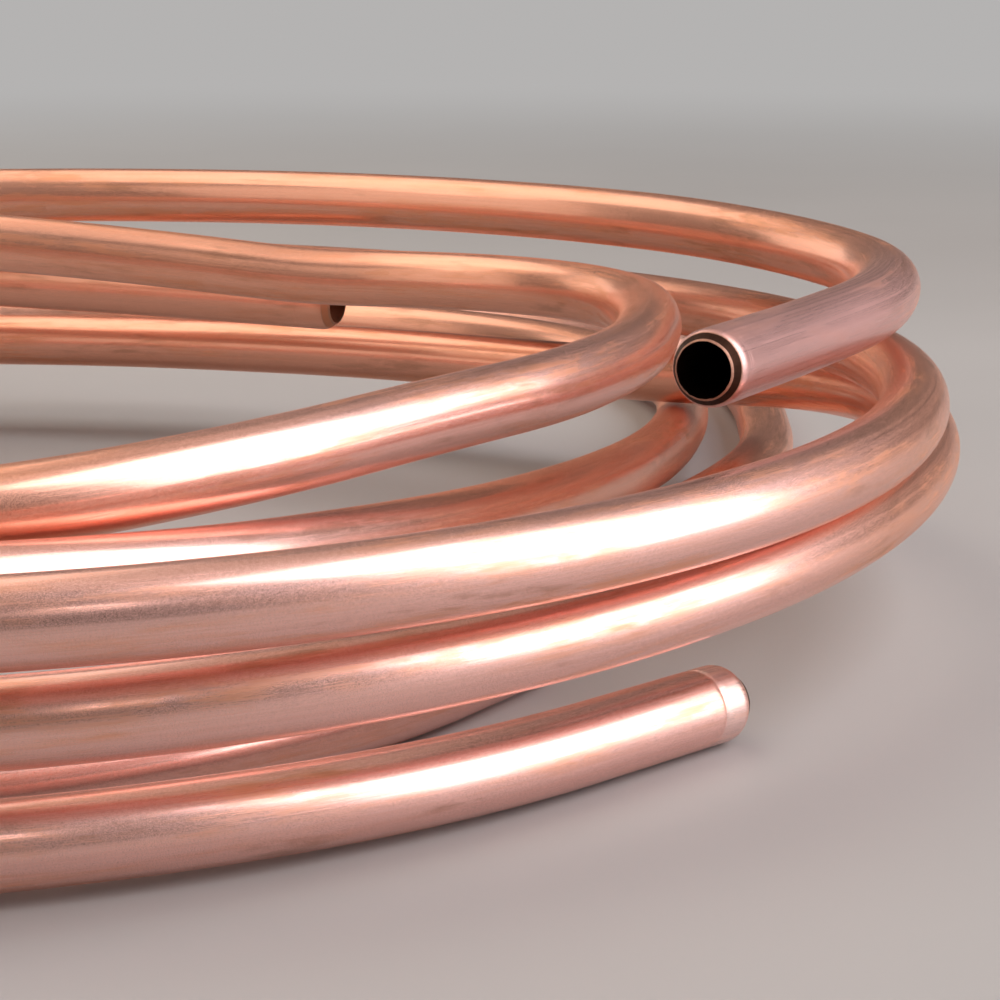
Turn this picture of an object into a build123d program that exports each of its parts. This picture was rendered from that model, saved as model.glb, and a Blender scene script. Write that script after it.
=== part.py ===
"""Loosely wound coil of bright round copper tube: an outer length and an inner length, laid in one coil.

Millimetres, +Z up. The origin is the middle of the coil's outline, on the level that the coil lies on.
Both lengths run counter-clockwise seen from above, starting at their upper ends.
The small loop and three of the four cut ends lie towards +X.
"""
from build123d import *
import math
import os

# Section of the tube
tube_diameter = 15.0
wall = 1.0
# Cut ends: the cutting wheel rolls the edge inwards, which leaves a rounded nose and a lip on the bore
nose_length = 4.2
lip_depth = 1.1
lip_length = 0.4
# Route: points for each turn, and how much of each run its bends take up
points_per_turn = 24
bend_share = 0.49

# A ring is (turns from the +X side, centre x, centre y, radius, height), in tube diameters.
# The tube follows each ring near its place and passes smoothly from one ring to the next.
# The heights show which turn rests on which: 0.5 is a tube lying on the floor.
outer_rings = [
    (-0.103, 1.04, 0.10, 12.02, 4.75),
    (-0.06, 1.04, 0.48, 11.85, 4.67),
    (0.02, 1.26, -0.37, 12.79, 4.78),
    (0.12, 0.77, -1.31, 13.34, 4.93),
    (0.30, 0.37, -2.42, 14.13, 4.99),
    (0.50, -0.22, -0.07, 13.20, 4.68),
    (0.66, -0.19, 0.27, 14.73, 3.18),
    (1.00, 0.06, -0.24, 13.97, 3.46),
    (1.16, -0.49, 0.39, 14.26, 3.24),
    (1.30, -0.66, 0.86, 15.04, 3.19),
    (1.45, -0.79, 0.28, 15.44, 3.07),
    (1.64, 1.24, 0.92, 14.94, 1.88),
    (2.00, -0.69, 2.23, 15.25, 2.48),
    (2.14, 1.36, 1.34, 12.08, 1.80),
    (2.26, -2.39, 1.03, 13.09, 1.85),
    (2.42, -2.42, 1.06, 14.90, 1.97),
    (2.62, -2.41, 3.06, 16.57, 0.56),
    (2.80, -2.38, 3.12, 17.16, 0.63),
    (2.89, -2.49, 3.43, 17.11, 0.50),
]
inner_rings = [
    (0.139, -4.49, -0.48, 14.32, 3.09),
    (0.20, -4.59, -0.89, 13.65, 3.17),
    (0.27, -4.42, -0.52, 13.72, 3.40),
    (0.36, -3.39, -0.60, 13.14, 2.71),
    (0.50, -1.19, -0.70, 11.69, 3.75),
    (0.70, 1.34, -0.40, 10.76, 3.43),
    (0.88, 2.66, 1.46, 8.06, 3.95),
    (1.00, 5.51, 2.49, 4.81, 3.99),
    (1.25, 5.16, 2.42, 5.51, 3.88),
    (1.36, 1.33, 1.31, 8.07, 4.74),
    (1.48, -0.11, 0.21, 9.91, 3.63),
    (1.64, 0.25, 1.84, 12.91, 2.49),
    (1.74, 0.15, 2.48, 14.38, 3.03),
    (2.00, -1.45, 14.50, 13.03, 0.65),
    (2.25, -1.40, 14.02, 11.81, 0.59),
    (2.50, -1.02, 13.15, 12.67, 0.74),
    (2.72, -0.63, 12.08, 13.62, 0.50),
    (2.86, -0.60, 10.19, 13.74, 0.50),
    (2.95, -0.09, 11.70, 13.31, 0.50),
    (3.04, -0.99, 16.06, 14.09, 0.50),
    (3.14, -0.99, 13.03, 15.66, 0.50),
    (3.30, -1.46, 11.45, 15.67, 0.50),
    (3.52, -1.81, 6.77, 14.04, 0.50),
    (3.70, -2.81, 1.05, 13.04, 0.50),
    (3.84, -2.87, 1.17, 12.97, 0.50),
    (3.92, -2.99, 1.22, 12.84, 0.50),
]


def ring_at(rings, turn):
    """The ring that the tube follows at this turn, between the two listed rings beside it."""
    for before, after in zip(rings, rings[1:]):
        if turn <= after[0]:
            break
    part = (turn - before[0]) / (after[0] - before[0])
    ease = part * part * (3 - 2 * part)
    return [a + ease * (b - a) for a, b in zip(before[1:], after[1:])]


def route(rings):
    """Points of the tube's centreline, evenly spread over the turns, with a straight run at each end."""
    first, last = rings[0][0], rings[-1][0]
    count = round((last - first) * points_per_turn)
    points = []
    for i in range(count + 1):
        turn = first + (last - first) * i / count
        x, y, radius, height = ring_at(rings, turn)
        angle = math.tau * turn
        if 0 < i < count:
            radius /= math.cos(math.pi / points_per_turn)
        point = Vector(x + radius * math.cos(angle), y + radius * math.sin(angle), height)
        points.append(point * tube_diameter)
    return points


def bend_radii(points):
    """The radius of each bend, from the shorter run beside it."""
    radii = []
    for a, b, c in zip(points, points[1:], points[2:]):
        half_turn = math.radians((b - a).get_angle(c - b)) / 2
        radii.append(bend_share * min((b - a).length, (c - b).length) / math.tan(half_turn))
    return radii


def centreline(points):
    """Straight runs joined by tangent arcs."""
    edges = []
    reached = points[0]
    for a, b, c, radius in zip(points, points[1:], points[2:], bend_radii(points)):
        inward = (b - a).normalized()
        outward = (c - b).normalized()
        half_turn = math.radians(inward.get_angle(outward)) / 2
        reach = radius * math.tan(half_turn)
        middle = b + (outward - inward).normalized() * (radius / math.cos(half_turn) - radius)
        edges.append(Line(reached, b - inward * reach))
        edges.append(ThreePointArc(b - inward * reach, middle, b + outward * reach))
        reached = b + outward * reach
    edges.append(Line(reached, points[-1]))
    return Wire(edges)


def skin(line, radius):
    """A round surface along the line, open at both ends."""
    """The round surface at this radius about the centreline, open at both ends."""
    start = Plane(line @ 0, z_dir=line % 0)
    filled = sweep(start * Circle(radius), path=line)
    return [face for face in filled.faces() if face.geom_type != GeomType.PLANE]


def nose(line, place, direction):
    """The rolled end that the cutting wheel leaves, without the face that joins it to the tube."""
    outer = tube_diameter / 2
    inner = outer - wall
    lip = inner - lip_depth
    with BuildPart() as end:
        with BuildSketch(Plane.XZ):
            with BuildLine():
                Line((inner, 0), (outer, 0))
                TangentArc((outer, 0), (lip + lip_length, nose_length), tangent=(0, 1))
                Line((lip + lip_length, nose_length), (lip, nose_length))
                Line((lip, nose_length), (lip, nose_length - lip_length))
                Line((lip, nose_length - lip_length), (inner, 0))
            make_face()
        revolve(axis=Axis.Z)
    placed = Plane(line @ place, z_dir=(line % place) * direction) * end.part
    joint = Plane(line @ place, z_dir=line % place)
    return [face for face in placed.faces() if abs(joint.to_local_coords(face.center()).Z) > 1e-3]


def tube(line):
    """The whole length of tube, hollow from end to end, with its two rolled ends."""
    faces = skin(line, tube_diameter / 2) + skin(line, tube_diameter / 2 - wall)
    faces += nose(line, 0, -1) + nose(line, 1, 1)
    return Solid(Shell(faces))


def build():
    os.makedirs("parts", exist_ok=True)
    lines = {"outer_tube": centreline(route(outer_rings)), "inner_tube": centreline(route(inner_rings))}
    boxes = [line.bounding_box() for line in lines.values()]
    middle_x = (min(box.min.X for box in boxes) + max(box.max.X for box in boxes)) / 2
    middle_y = (min(box.min.Y for box in boxes) + max(box.max.Y for box in boxes)) / 2
    for name, line in lines.items():
        line = line.moved(Location((-middle_x, -middle_y, 0)))
        solid = tube(line)
        solid.label = name
        export_step(solid, f"parts/{name}.step")
        print(name, "length", round(line.length), "mm")
        for place in (0, 1):
            print("  end", tuple(round(v, 2) for v in line @ place), tuple(round(v, 5) for v in line % place))


build()
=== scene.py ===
"""Bright copper tube coil: two lengths of round tube, laid loosely in one coil, on a pale studio floor.

Metres, in the frame of the CAD model. Each length is one closed skin that follows the CAD model's route,
with the fine relief that the CAD model leaves out: a slightly uneven skin, score rings behind the cut ends,
and the burr of the cut.
"""
import bpy
import math
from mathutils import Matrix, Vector, noise


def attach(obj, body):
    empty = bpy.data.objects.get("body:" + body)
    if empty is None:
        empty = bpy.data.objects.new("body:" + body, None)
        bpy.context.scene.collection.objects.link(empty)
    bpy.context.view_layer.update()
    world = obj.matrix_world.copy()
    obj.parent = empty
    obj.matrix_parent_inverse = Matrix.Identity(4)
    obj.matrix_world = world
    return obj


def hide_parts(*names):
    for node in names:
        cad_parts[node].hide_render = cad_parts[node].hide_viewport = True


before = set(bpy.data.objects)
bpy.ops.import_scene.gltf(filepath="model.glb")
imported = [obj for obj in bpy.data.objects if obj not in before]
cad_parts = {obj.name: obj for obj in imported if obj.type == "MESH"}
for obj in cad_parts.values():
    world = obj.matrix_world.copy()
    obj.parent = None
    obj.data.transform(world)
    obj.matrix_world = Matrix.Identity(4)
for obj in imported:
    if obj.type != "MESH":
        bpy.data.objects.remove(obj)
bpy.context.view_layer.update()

# Section of the tube and its route, as in the CAD model
TUBE = 0.015
WALL = 0.001
POINTS_PER_TURN = 24
BEND_SHARE = 0.49
# A ring is (turns from the +X side, centre x, centre y, radius, height), in tube diameters
OUTER_RINGS = [
    (-0.103, 1.04, 0.10, 12.02, 4.75),
    (-0.06, 1.04, 0.48, 11.85, 4.67),
    (0.02, 1.26, -0.37, 12.79, 4.78),
    (0.12, 0.77, -1.31, 13.34, 4.93),
    (0.30, 0.37, -2.42, 14.13, 4.99),
    (0.50, -0.22, -0.07, 13.20, 4.68),
    (0.66, -0.19, 0.27, 14.73, 3.18),
    (1.00, 0.06, -0.24, 13.97, 3.46),
    (1.16, -0.49, 0.39, 14.26, 3.24),
    (1.30, -0.66, 0.86, 15.04, 3.19),
    (1.45, -0.79, 0.28, 15.44, 3.07),
    (1.64, 1.24, 0.92, 14.94, 1.88),
    (2.00, -0.69, 2.23, 15.25, 2.48),
    (2.14, 1.36, 1.34, 12.08, 1.80),
    (2.26, -2.39, 1.03, 13.09, 1.85),
    (2.42, -2.42, 1.06, 14.90, 1.97),
    (2.62, -2.41, 3.06, 16.57, 0.56),
    (2.80, -2.38, 3.12, 17.16, 0.63),
    (2.89, -2.49, 3.43, 17.11, 0.50),
]
INNER_RINGS = [
    (0.139, -4.49, -0.48, 14.32, 3.09),
    (0.20, -4.59, -0.89, 13.65, 3.17),
    (0.27, -4.42, -0.52, 13.72, 3.40),
    (0.36, -3.39, -0.60, 13.14, 2.71),
    (0.50, -1.19, -0.70, 11.69, 3.75),
    (0.70, 1.34, -0.40, 10.76, 3.43),
    (0.88, 2.66, 1.46, 8.06, 3.95),
    (1.00, 5.51, 2.49, 4.81, 3.99),
    (1.25, 5.16, 2.42, 5.51, 3.88),
    (1.36, 1.33, 1.31, 8.07, 4.74),
    (1.48, -0.11, 0.21, 9.91, 3.63),
    (1.64, 0.25, 1.84, 12.91, 2.49),
    (1.74, 0.15, 2.48, 14.38, 3.03),
    (2.00, -1.45, 14.50, 13.03, 0.65),
    (2.25, -1.40, 14.02, 11.81, 0.59),
    (2.50, -1.02, 13.15, 12.67, 0.74),
    (2.72, -0.63, 12.08, 13.62, 0.50),
    (2.86, -0.60, 10.19, 13.74, 0.50),
    (2.95, -0.09, 11.70, 13.31, 0.50),
    (3.04, -0.99, 16.06, 14.09, 0.50),
    (3.14, -0.99, 13.03, 15.66, 0.50),
    (3.30, -1.46, 11.45, 15.67, 0.50),
    (3.52, -1.81, 6.77, 14.04, 0.50),
    (3.70, -2.81, 1.05, 13.04, 0.50),
    (3.84, -2.87, 1.17, 12.97, 0.50),
    (3.92, -2.99, 1.22, 12.84, 0.50),
]

# Closeness of the mesh: samples of the line, sides round the tube, loops along its skin, and how many of those
# there are for each loop in the bore
LINE_STEP = 0.002
SIDES = 48
LOOP_STEP = 0.0032
SKIN_LOOPS_PER_BORE_LOOP = 5
# Directions are read between two places this far before and after
DIRECTION_REACH = 0.006
SHARP_EDGE = math.radians(50)

# The rolled end, from the skin to the bore: millimetres past the straight tube, and the radius in millimetres
NOSE_MM = [
    (0.5, 7.48), (1.0, 7.40), (1.5, 7.25), (1.85, 7.08), (2.05, 6.94), (2.25, 6.80), (2.7, 6.50), (3.2, 6.15),
    (3.7, 5.83), (4.08, 5.58), (4.17, 5.51), (4.2, 5.46), (4.15, 5.42), (3.8, 5.46), (3.0, 5.85), (2.0, 6.25),
    (1.0, 6.45), (0.0, 6.50),
]
NOSE = [(past / 1000, radius / 1000) for past, radius in NOSE_MM]

# Unevenness of the skin in two waves: how often each goes round the tube and along it, how its seed is
# multiplied, and its share
SKIN_WAVE = 0.00004
SKIN_WAVES = ((0.8, 22, 1, 1.0), (1.6, 70, 3, 0.4))
# Unevenness of the nose and the burr: the depth, how often, and how far past the straight tube it starts
NOSE_WAVE = 0.00005
NOSE_OFTEN = (4, 900)
NOSE_WAVE_FROM = 0.002
BURR = 0.00016
BURR_OFTEN = 11
BURR_SEED = 5
BURR_FROM = 0.0037
# The burr hangs mostly at the lower side. This share of it goes all round
BURR_ALL_ROUND = 0.35
# The bore's colour, a painted shade on the outer length, covers what lies within this radius, as far as the lip
BORE_COLOUR_RADIUS = 0.00655
LIP_FROM = 0.00375
# Loops across a score ring, in shares of its half width
SCORE_LOOPS = (-1.2, -0.8, -0.4, 0.0, 0.4, 0.8, 1.2)


# The line of the tube
def ring_at(rings, turn):
    """The ring that the tube follows at this turn, between the two listed rings beside it."""
    for before, after in zip(rings, rings[1:]):
        if turn <= after[0]:
            break
    part = (turn - before[0]) / (after[0] - before[0])
    ease = part * part * (3 - 2 * part)
    return [a + ease * (b - a) for a, b in zip(before[1:], after[1:])]


def route(rings):
    """Points of the centreline, evenly spread over the turns, with a straight run at each end."""
    first, last = rings[0][0], rings[-1][0]
    count = round((last - first) * POINTS_PER_TURN)
    points = []
    for i in range(count + 1):
        turn = first + (last - first) * i / count
        x, y, radius, height = ring_at(rings, turn)
        angle = math.tau * turn
        if 0 < i < count:
            radius /= math.cos(math.pi / POINTS_PER_TURN)
        points.append(Vector((x + radius * math.cos(angle), y + radius * math.sin(angle), height)) * TUBE)
    return points


def arc_line(points):
    """Close samples of the straight runs and of the tangent arcs between them."""
    out = [points[0].copy()]

    def straight(a, b):
        n = max(1, round((b - a).length / LINE_STEP))
        for k in range(1, n + 1):
            out.append(a.lerp(b, k / n))

    reached = points[0]
    for a, b, c in zip(points, points[1:], points[2:]):
        inward = (b - a).normalized()
        outward = (c - b).normalized()
        reach = BEND_SHARE * min((b - a).length, (c - b).length)
        half = inward.angle(outward) / 2
        radius = reach / math.tan(half)
        start = b - inward * reach
        straight(reached, start)
        side = (outward - inward * outward.dot(inward)).normalized()
        n = max(2, round(2 * half * radius / LINE_STEP))
        for k in range(1, n + 1):
            turn = 2 * half * k / n
            out.append(start + side * radius * (1 - math.cos(turn)) + inward * radius * math.sin(turn))
        reached = b + outward * reach
    straight(reached, points[-1])
    return out


class Line:
    """A line through close samples, read by the length from its start."""

    def __init__(self, points):
        self.points = points
        self.total = [0.0]
        for a, b in zip(points, points[1:]):
            self.total.append(self.total[-1] + (b - a).length)
        self.length = self.total[-1]

    def at(self, s):
        low, high = 0, len(self.total) - 1
        while high - low > 1:
            middle = (low + high) // 2
            if self.total[middle] <= s:
                low = middle
            else:
                high = middle
        part = (s - self.total[low]) / (self.total[high] - self.total[low])
        return self.points[low].lerp(self.points[high], part)

    def frame(self, s):
        """Its place, its direction, and the sideways and upward directions across it."""
        behind = max(0.0, min(self.length - DIRECTION_REACH, s - DIRECTION_REACH))
        before = min(self.length, max(DIRECTION_REACH, s + DIRECTION_REACH))
        ahead = (self.at(before) - self.at(behind)).normalized()
        side = ahead.cross(Vector((0, 0, 1))).normalized()
        return self.at(s), ahead, side, side.cross(ahead)


lines = [arc_line(route(rings)) for rings in (OUTER_RINGS, INNER_RINGS)]
every = lines[0] + lines[1]
middle = Vector((
    (min(p.x for p in every) + max(p.x for p in every)) / 2,
    (min(p.y for p in every) + max(p.y for p in every)) / 2, 0))
outer_line, inner_line = [Line([p - middle for p in points]) for points in lines]


# The tube's own shape
def tube_loops(length, scores):
    """Loops along the outside, round the far end, back through the bore and round the near end.

    A loop is (place along the line, how far past its end, radius, 1 on the skin and 0 elsewhere).
    A score ring is (place, depth, half width).
    """
    count = round(length / LOOP_STEP)
    stations = {round(length * k / count, 6) for k in range(count + 1)}
    for place, depth, width in scores:
        stations.update(round(place + share * width, 6) for share in SCORE_LOOPS)
    loops = []
    for s in sorted(stations):
        radius = TUBE / 2
        for place, depth, width in scores:
            radius -= depth * max(0.0, 1 - abs(s - place) / width)
        loops.append((s, 0.0, radius, 1.0))
    loops += [(length, past, radius, 0.0) for past, radius in NOSE]
    bore = count // SKIN_LOOPS_PER_BORE_LOOP
    loops += [(length * (bore - k) / bore, 0.0, TUBE / 2 - WALL, 0.0) for k in range(1, bore)]
    loops += [(0.0, -past, radius, 0.0) for past, radius in reversed(NOSE)]
    return loops


def uneven(loop, c, d, seed):
    """The radius of a loop with its fine relief, at a point round the tube given by its cosine and sine."""
    s, past, radius, skin = loop
    wave = 0.0
    for often, along, times, share in SKIN_WAVES:
        wave += share * noise.noise(Vector((c * often, d * often, s * along + seed * times)))
    r = radius + skin * SKIN_WAVE * wave
    if abs(past) > NOSE_WAVE_FROM:
        often, along = NOSE_OFTEN
        r += NOSE_WAVE * noise.noise(Vector((c * often, d * often, seed + past * along)))
    if abs(past) > BURR_FROM:
        burr = noise.noise(Vector((c * BURR_OFTEN, d * BURR_OFTEN, seed + BURR_SEED)))
        r += BURR * burr * (BURR_ALL_ROUND + (1 - BURR_ALL_ROUND) * max(0.0, -d))
    return r


def tube_mesh(name, line, seed, scores):
    """One closed skin. Its UV map gives the turn round the tube, plus 1 in the bore, and metres along it."""
    loops = tube_loops(line.length, scores)
    verts = []
    for loop in loops:
        place, ahead, side, up = line.frame(loop[0])
        place = place + ahead * loop[1]
        for k in range(SIDES):
            angle = math.tau * k / SIDES - math.pi / 2
            c, d = math.cos(angle), math.sin(angle)
            r = uneven(loop, c, d, seed)
            verts.append(place + side * (c * r) + up * (d * r))
    faces, along = [], []
    for i, (s, past, radius, skin) in enumerate(loops):
        j = (i + 1) % len(loops)
        near, far = s + past, loops[j][0] + loops[j][1]
        bore = 1.0 if not skin and radius < BORE_COLOUR_RADIUS and abs(past) < LIP_FROM else 0.0
        for k in range(SIDES):
            n = (k + 1) % SIDES
            faces.append((i * SIDES + k, i * SIDES + n, j * SIDES + n, j * SIDES + k))
            a, b = k / SIDES + bore, (k + 1) / SIDES + bore
            along += [a, near, b, near, b, far, a, far]
    mesh = bpy.data.meshes.new(name)
    mesh.from_pydata(verts, [], faces)
    mesh.uv_layers.new(name="along").data.foreach_set("uv", along)
    mesh.polygons.foreach_set("use_smooth", [True] * len(mesh.polygons))
    mesh.set_sharp_from_angle(angle=SHARP_EDGE)
    mesh.update()
    piece = bpy.data.objects.new(name, mesh)
    bpy.context.scene.collection.objects.link(piece)
    return piece


# Materials
# Patterns on the metal: detail, roughness, how often round the tube and along it, and a shift of its own
PATTERNS = {
    "fine": (3.0, 0.6, 46.0, 5.0, 0),
    "wide": (2.0, 0.5, 9.0, 2.5, 3),
    "cloud": (4.0, 0.6, 1.3, 17.0, 7),
    "patch": (5.0, 0.62, 3.5, 90.0, 11),
    "grain": (2.0, 0.6, 40.0, 5200.0, 17),
    "haze": (1.0, 0.5, 115.0, 15000.0, 37),
    "line": (1.0, 0.4, 75.0, 26.0, 23),
    "sparse": (2.0, 0.5, 1.7, 40.0, 29),
    "blot": (3.0, 0.6, 1.1, 26.0, 43),
}
# Tints that the patterns and the ends lay over the metal
# Redder tint: partly tarnish, partly painted warm light and copper-to-copper reflection on the back turns
AGED_AND_WARM_LIT = (0.90, 0.43, 0.27, 1)
DRAWN = (0.60, 0.30, 0.20, 1)
STAIN = (0.40, 0.20, 0.12, 1)
SPECK = (0.22, 0.09, 0.05, 1)
# Darker mauve over the satin start of the outer length: a satin finish, with a painted dark reflection in its
# colour
SATIN_AND_SHADE = (0.60, 0.36, 0.345, 1)
SCRAPED = (0.88, 0.80, 0.77, 1)
CUT = (0.42, 0.23, 0.15, 1)
# Metres along the tube: how softly the stretches of tarnish and painted warm light, and the satin start with
# its painted shade, end, how far past the ends the cut's colour starts, and where the scraped end starts before
# the end and stops past it
AGED_AND_WARM_LIT_EDGE = 0.04
SATIN_AND_SHADE_EDGE = 0.07
CUT_EDGE = (0.0019, 0.0022)
SCRAPED_START = (0.0054, 0.0048)
SCRAPED_STOP = 0.002
# A place before the start of either length
BEFORE_START = -1.0
BUMP_STRENGTH = 0.35
BUMP_DISTANCE = 0.00004
# The floor: its two tones, and the even tone that takes over between these distances from the coil
FLOOR_TONES = ((0.40, 0.392, 0.388, 1), (0.43, 0.422, 0.418, 1))
FLOOR_ROUGHNESS = 0.58
FAR_TONE = (0.46, 0.45, 0.445, 1)
FAR_FROM = 0.5
FAR_FULL = 1.8


class Tree:
    """Short names for building a node material."""

    def __init__(self, name):
        self.material = bpy.data.materials.new(name)
        self.material.use_nodes = True
        self.nodes = self.material.node_tree.nodes
        self.links = self.material.node_tree.links
        self.shader = self.nodes["Principled BSDF"]

    def add(self, kind, **values):
        node = self.nodes.new(kind)
        for key, value in values.items():
            setattr(node, key, value)
        return node

    def put(self, value, socket):
        """A number or a colour on the socket itself, or a link to it."""
        if isinstance(value, (int, float, tuple)):
            socket.default_value = value
        else:
            self.links.new(value, socket)

    def math(self, operation, a, b=0.0):
        node = self.add("ShaderNodeMath", operation=operation)
        self.put(a, node.inputs[0])
        self.put(b, node.inputs[1])
        return node.outputs[0]

    def both(self, a, b):
        return self.math("MULTIPLY", a, b)

    def either(self, a, b):
        return self.math("MAXIMUM", a, b)

    def total(self, start, shares):
        """The start, plus each value times its share."""
        for value, share in shares:
            start = self.math("ADD", start, self.math("MULTIPLY", value, share))
        return start

    def span(self, value, low, high, to_low=0.0, to_high=1.0):
        """A smooth step between two values."""
        node = self.add("ShaderNodeMapRange", interpolation_type="SMOOTHSTEP")
        self.put(value, node.inputs["Value"])
        node.inputs["From Min"].default_value = low
        node.inputs["From Max"].default_value = high
        node.inputs["To Min"].default_value = to_low
        node.inputs["To Max"].default_value = to_high
        return node.outputs["Result"]

    def until(self, value, low, high):
        """1 up to the low value, and 0 from the high value on."""
        return self.span(value, low, high, 1.0, 0.0)

    def mix(self, factor, a, b):
        node = self.add("ShaderNodeMix", data_type="RGBA")
        self.put(factor, node.inputs["Factor"])
        self.put(a, node.inputs[6])
        self.put(b, node.inputs[7])
        return node.outputs[2]

    def noise(self, vector, detail, rough, around=1.0, along=1.0, shift=0.0, scale=1.0):
        place = self.add("ShaderNodeMapping")
        place.inputs["Location"].default_value = (shift, shift * 0.7, shift * 1.3)
        place.inputs["Scale"].default_value = (around, around, along)
        self.links.new(vector, place.inputs["Vector"])
        node = self.add("ShaderNodeTexNoise")
        node.inputs["Scale"].default_value = scale
        node.inputs["Detail"].default_value = detail
        node.inputs["Roughness"].default_value = rough
        self.links.new(place.outputs[0], node.inputs["Vector"])
        return node.outputs["Fac"]


def around_tube(tree):
    """A place on the tube as (cosine, sine, metres along), without a seam, and the UV map's two values."""
    uv = tree.add("ShaderNodeUVMap", uv_map="along")
    parts = tree.add("ShaderNodeSeparateXYZ")
    tree.links.new(uv.outputs[0], parts.inputs[0])
    turn = tree.math("MULTIPLY", parts.outputs[0], math.tau)
    joined = tree.add("ShaderNodeCombineXYZ")
    tree.links.new(tree.math("COSINE", turn), joined.inputs[0])
    tree.links.new(tree.math("SINE", turn), joined.inputs[1])
    tree.links.new(parts.outputs[1], joined.inputs[2])
    return joined.outputs[0], parts.outputs[0], parts.outputs[1]


def copper(name, bright, warm, bore_tone_and_shade, tarnish, seed, length, aged_and_warm_lit, satin_and_shade_end):
    """Bright drawn copper: bright is the colour of the metal, warm of its tarnish and bore_tone_and_shade of
    its bore, which on the outer length is a painted shade, near black.

    Places are metres along the tube: aged_and_warm_lit lists the redder stretches, tarnish with painted warm
    light and copper reflections, and the satin start, darkened with painted shade, reaches to
    satin_and_shade_end.
    """
    tree = Tree(name)
    spot, turned, along = around_tube(tree)
    pattern = {
        key: tree.noise(spot, detail, rough, around, often, seed + shift)
        for key, (detail, rough, around, often, shift) in PATTERNS.items()}
    fine, wide = pattern["fine"], pattern["wide"]
    stain = tree.both(tree.span(pattern["blot"], 0.54, 0.66), tree.span(pattern["patch"], 0.42, 0.60))
    dull = tree.both(tree.span(pattern["cloud"], 0.42, 0.68), tree.span(pattern["patch"], 0.30, 0.62))
    speck = tree.span(pattern["grain"], 0.66, 0.74)
    scratch = tree.both(tree.span(pattern["line"], 0.66, 0.70), tree.span(pattern["sparse"], 0.50, 0.58))
    cut = tree.either(
        tree.until(along, -CUT_EDGE[1], -CUT_EDGE[0]),
        tree.span(along, length + CUT_EDGE[0], length + CUT_EDGE[1]))
    bore = tree.math("GREATER_THAN", turned, 1.0)
    # The satin start: real satin roughness, and a darker colour that paints the reflection of dark surroundings
    satin_and_shade = tree.until(along, satin_and_shade_end - SATIN_AND_SHADE_EDGE, satin_and_shade_end)
    scraped = tree.both(
        tree.span(along, length - SCRAPED_START[0], length - SCRAPED_START[1]),
        tree.until(along, length, length + SCRAPED_STOP))
    # Redder stretches along the tube: tarnish, and painted warm light and copper reflections where the back
    # turns lie
    aged_and_warm_lit_mask = 0.0
    for start, end in aged_and_warm_lit:
        stretch = tree.both(
            tree.span(along, start - AGED_AND_WARM_LIT_EDGE, start + AGED_AND_WARM_LIT_EDGE),
            tree.until(along, end - AGED_AND_WARM_LIT_EDGE, end + AGED_AND_WARM_LIT_EDGE))
        aged_and_warm_lit_mask = tree.either(aged_and_warm_lit_mask, stretch)

    # The last tint paints shade into the bore, near black on the outer length
    colour = bright
    for mask, share, tint in (
            (aged_and_warm_lit_mask, 0.7, AGED_AND_WARM_LIT), (dull, tarnish, warm), (tree.span(fine, 0.35, 0.7), 0.25, DRAWN),
            (stain, 0.4, STAIN), (speck, 0.35, SPECK), (satin_and_shade, 0.7, SATIN_AND_SHADE), (scraped, 0.3, SCRAPED),
            (cut, 0.8, CUT), (bore, 0.97, bore_tone_and_shade)):
        colour = tree.mix(tree.math("MULTIPLY", mask, share), colour, tint)
    tree.links.new(colour, tree.shader.inputs["Base Color"])
    tree.shader.inputs["Metallic"].default_value = 1.0

    # The haze is finer than a pixel, so each reflection is a sharp one with a soft one round it
    rough = tree.total(tree.span(fine, 0.3, 0.7, 0.13, 0.20), (
        (dull, 0.14), (tree.span(pattern["haze"], 0.44, 0.56), 0.29), (tree.span(wide, 0.35, 0.7), 0.06),
        (scratch, 0.08), (tree.either(cut, bore), 0.2), (satin_and_shade, 0.10), (scraped, 0.05)))
    tree.links.new(rough, tree.shader.inputs["Roughness"])

    bump = tree.add("ShaderNodeBump")
    bump.inputs["Strength"].default_value = BUMP_STRENGTH
    bump.inputs["Distance"].default_value = BUMP_DISTANCE
    relief = tree.total(0.0, ((fine, 0.35), (wide, 0.4), (scratch, -0.25), (speck, -0.15)))
    tree.links.new(relief, bump.inputs["Height"])
    tree.links.new(bump.outputs[0], tree.shader.inputs["Normal"])
    return tree.material


def floor_paint():
    """Pale grey. Far from the coil, the camera and the tubes see it evenly pale."""
    tree = Tree("pale_floor")
    place = tree.add("ShaderNodeTexCoord").outputs["Object"]
    soft = tree.noise(place, 3.0, 0.5, scale=3.0)
    colour = tree.mix(tree.span(soft, 0.3, 0.7), *FLOOR_TONES)
    tree.links.new(colour, tree.shader.inputs["Base Color"])
    tree.shader.inputs["Roughness"].default_value = FLOOR_ROUGHNESS
    distance = tree.add("ShaderNodeVectorMath", operation="LENGTH")
    tree.links.new(place, distance.inputs[0])
    ray = tree.add("ShaderNodeLightPath")
    seen = tree.either(ray.outputs["Is Camera Ray"], ray.outputs["Is Glossy Ray"])
    far = tree.span(distance.outputs["Value"], FAR_FROM, FAR_FULL)
    glow = tree.add("ShaderNodeEmission")
    glow.inputs["Color"].default_value = FAR_TONE
    join = tree.add("ShaderNodeMixShader")
    tree.links.new(tree.both(far, seen), join.inputs[0])
    tree.links.new(tree.shader.outputs[0], join.inputs[1])
    tree.links.new(glow.outputs[0], join.inputs[2])
    tree.links.new(join.outputs[0], tree.nodes["Material Output"].inputs["Surface"])
    return tree.material


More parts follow.
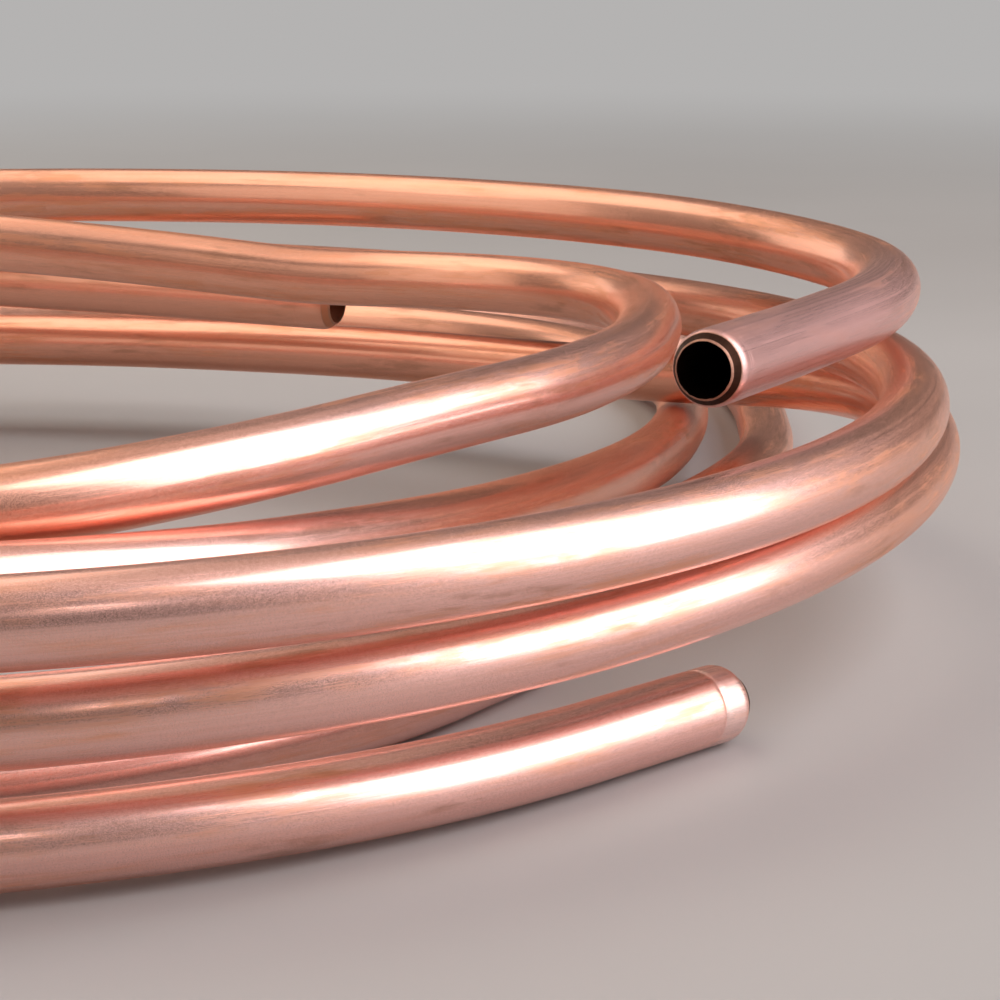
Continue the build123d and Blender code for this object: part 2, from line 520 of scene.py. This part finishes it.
# The two lengths
bright = copper(
    "bright_copper",
    # The outer length's bore is painted near black as shade; the inner's is a darker, redder copper
    bright=(0.93, 0.56, 0.495, 1), warm=(0.84, 0.38, 0.20, 1), bore_tone_and_shade=(0.035, 0.014, 0.008, 1),
    tarnish=0.7, seed=4.0, length=outer_line.length,
    aged_and_warm_lit=[(0.13, 0.50), (1.28, 1.65), (2.66, 3.25)], satin_and_shade_end=0.13)
inner_bright = copper(
    "bright_copper_inner",
    bright=(0.93, 0.555, 0.485, 1), warm=(0.80, 0.36, 0.20, 1), bore_tone_and_shade=(0.62, 0.27, 0.15, 1),
    tarnish=0.75, seed=41.0, length=inner_line.length,
    aged_and_warm_lit=[(BEFORE_START, 0.30), (0.55, 0.76), (0.90, 1.30), (1.78, 2.45), (3.15, 3.45)], satin_and_shade_end=BEFORE_START)
# Score rings: three behind the upper open end, and one behind each of the other two ends that show
outer = tube_mesh("outer_tube_skin", outer_line, 3.0, [
    (0.0009, 0.00005, 0.0003), (0.0019, 0.00005, 0.0003), (0.0135, 0.00003, 0.0005),
    (outer_line.length - 0.0050, 0.00020, 0.0006)])
inner = tube_mesh("inner_tube_skin", inner_line, 57.0, [(0.0060, 0.00012, 0.0005)])
for piece, material, node, slot in (
        (outer, bright, "outer_tube", "bright_copper"),
        (inner, inner_bright, "inner_tube", "bright_copper_inner")):
    piece.data.materials.append(material)
    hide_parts(node)
    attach(piece, "root")

# Floor, light and camera
FLOOR_CORNERS = [(-9, -6, 0), (9, -6, 0), (9, 12, 0), (-9, 12, 0)]
WORLD_COLOUR = (1.0, 0.92, 0.86, 1)
WORLD_STRENGTH = 0.10
# Soft lamps: place, the point they face, width and height, watts and colour
LAMPS = {
    "side": ((1.384, -0.323, 1.021), (-0.086, -0.033, 0.151), (1.32, 2.29), 41, (1.0, 0.97, 1.0)),
    "left": ((-1.10, -0.90, 0.78), (0.0, 0.05, 0.05), (2.2, 1.5), 9, (1.0, 0.87, 0.75)),
    "back": ((-0.58, 0.45, 1.25), (-0.58, 0.45, 0.0), (1.1, 1.9), 10, (1.0, 0.88, 0.76)),
    "far_left": ((-1.15, 1.45, 0.58), (0.15, 0.1, 0.05), (1.3, 0.95), 5.5, (1.0, 0.90, 0.80)),
    "front": ((0.46, -1.13, 0.70), (0.08, -0.2, 0.03), (0.09, 0.20), 0.36, (1.0, 0.86, 0.80)),
    "ceiling": ((-0.1, 0.4, 1.9), (0.0, 0.1, 0.0), (2.2, 2.0), 5.0, (1.0, 0.80, 0.62)),
}
# The camera stands where the photograph's did and looks down by its tilt. In tube diameters, this is its place
# from the point that the rings are counted from
CAMERA_DIAMETERS = (8.0, -41.3, 10.35)
CAMERA_TILT = 12.035
CAMERA_LENS_MM = 100.2
CAMERA_SENSOR_MM = 36
CAMERA_REACH = 50

floor_mesh = bpy.data.meshes.new("studio_floor")
floor_mesh.from_pydata(FLOOR_CORNERS, [], [(0, 1, 2, 3)])
floor = bpy.data.objects.new("studio_floor", floor_mesh)
bpy.context.scene.collection.objects.link(floor)
floor_mesh.materials.append(floor_paint())

world = bpy.data.worlds.new("studio")
bpy.context.scene.world = world
world.use_nodes = True
world.node_tree.nodes["Background"].inputs["Color"].default_value = WORLD_COLOUR
world.node_tree.nodes["Background"].inputs["Strength"].default_value = WORLD_STRENGTH

for name, (place, target, size, power, tint) in LAMPS.items():
    light = bpy.data.lights.new(name, "AREA")
    light.shape = "RECTANGLE"
    light.size, light.size_y = size
    light.energy = power
    light.color = tint
    lamp = bpy.data.objects.new(name, light)
    lamp.location = place
    lamp.rotation_euler = (Vector(target) - Vector(place)).to_track_quat("-Z", "Y").to_euler()
    lamp.visible_camera = False
    bpy.context.scene.collection.objects.link(lamp)

camera_data = bpy.data.cameras.new("camera")
camera_data.lens = CAMERA_LENS_MM
camera_data.sensor_width = CAMERA_SENSOR_MM
camera_data.clip_end = CAMERA_REACH
camera = bpy.data.objects.new("camera", camera_data)
camera.location = Vector(CAMERA_DIAMETERS) * TUBE - middle
camera.rotation_euler = (math.radians(90 - CAMERA_TILT), 0, 0)
bpy.context.scene.collection.objects.link(camera)
bpy.context.scene.camera = camera
bpy.context.scene.view_settings.view_transform = "Standard"
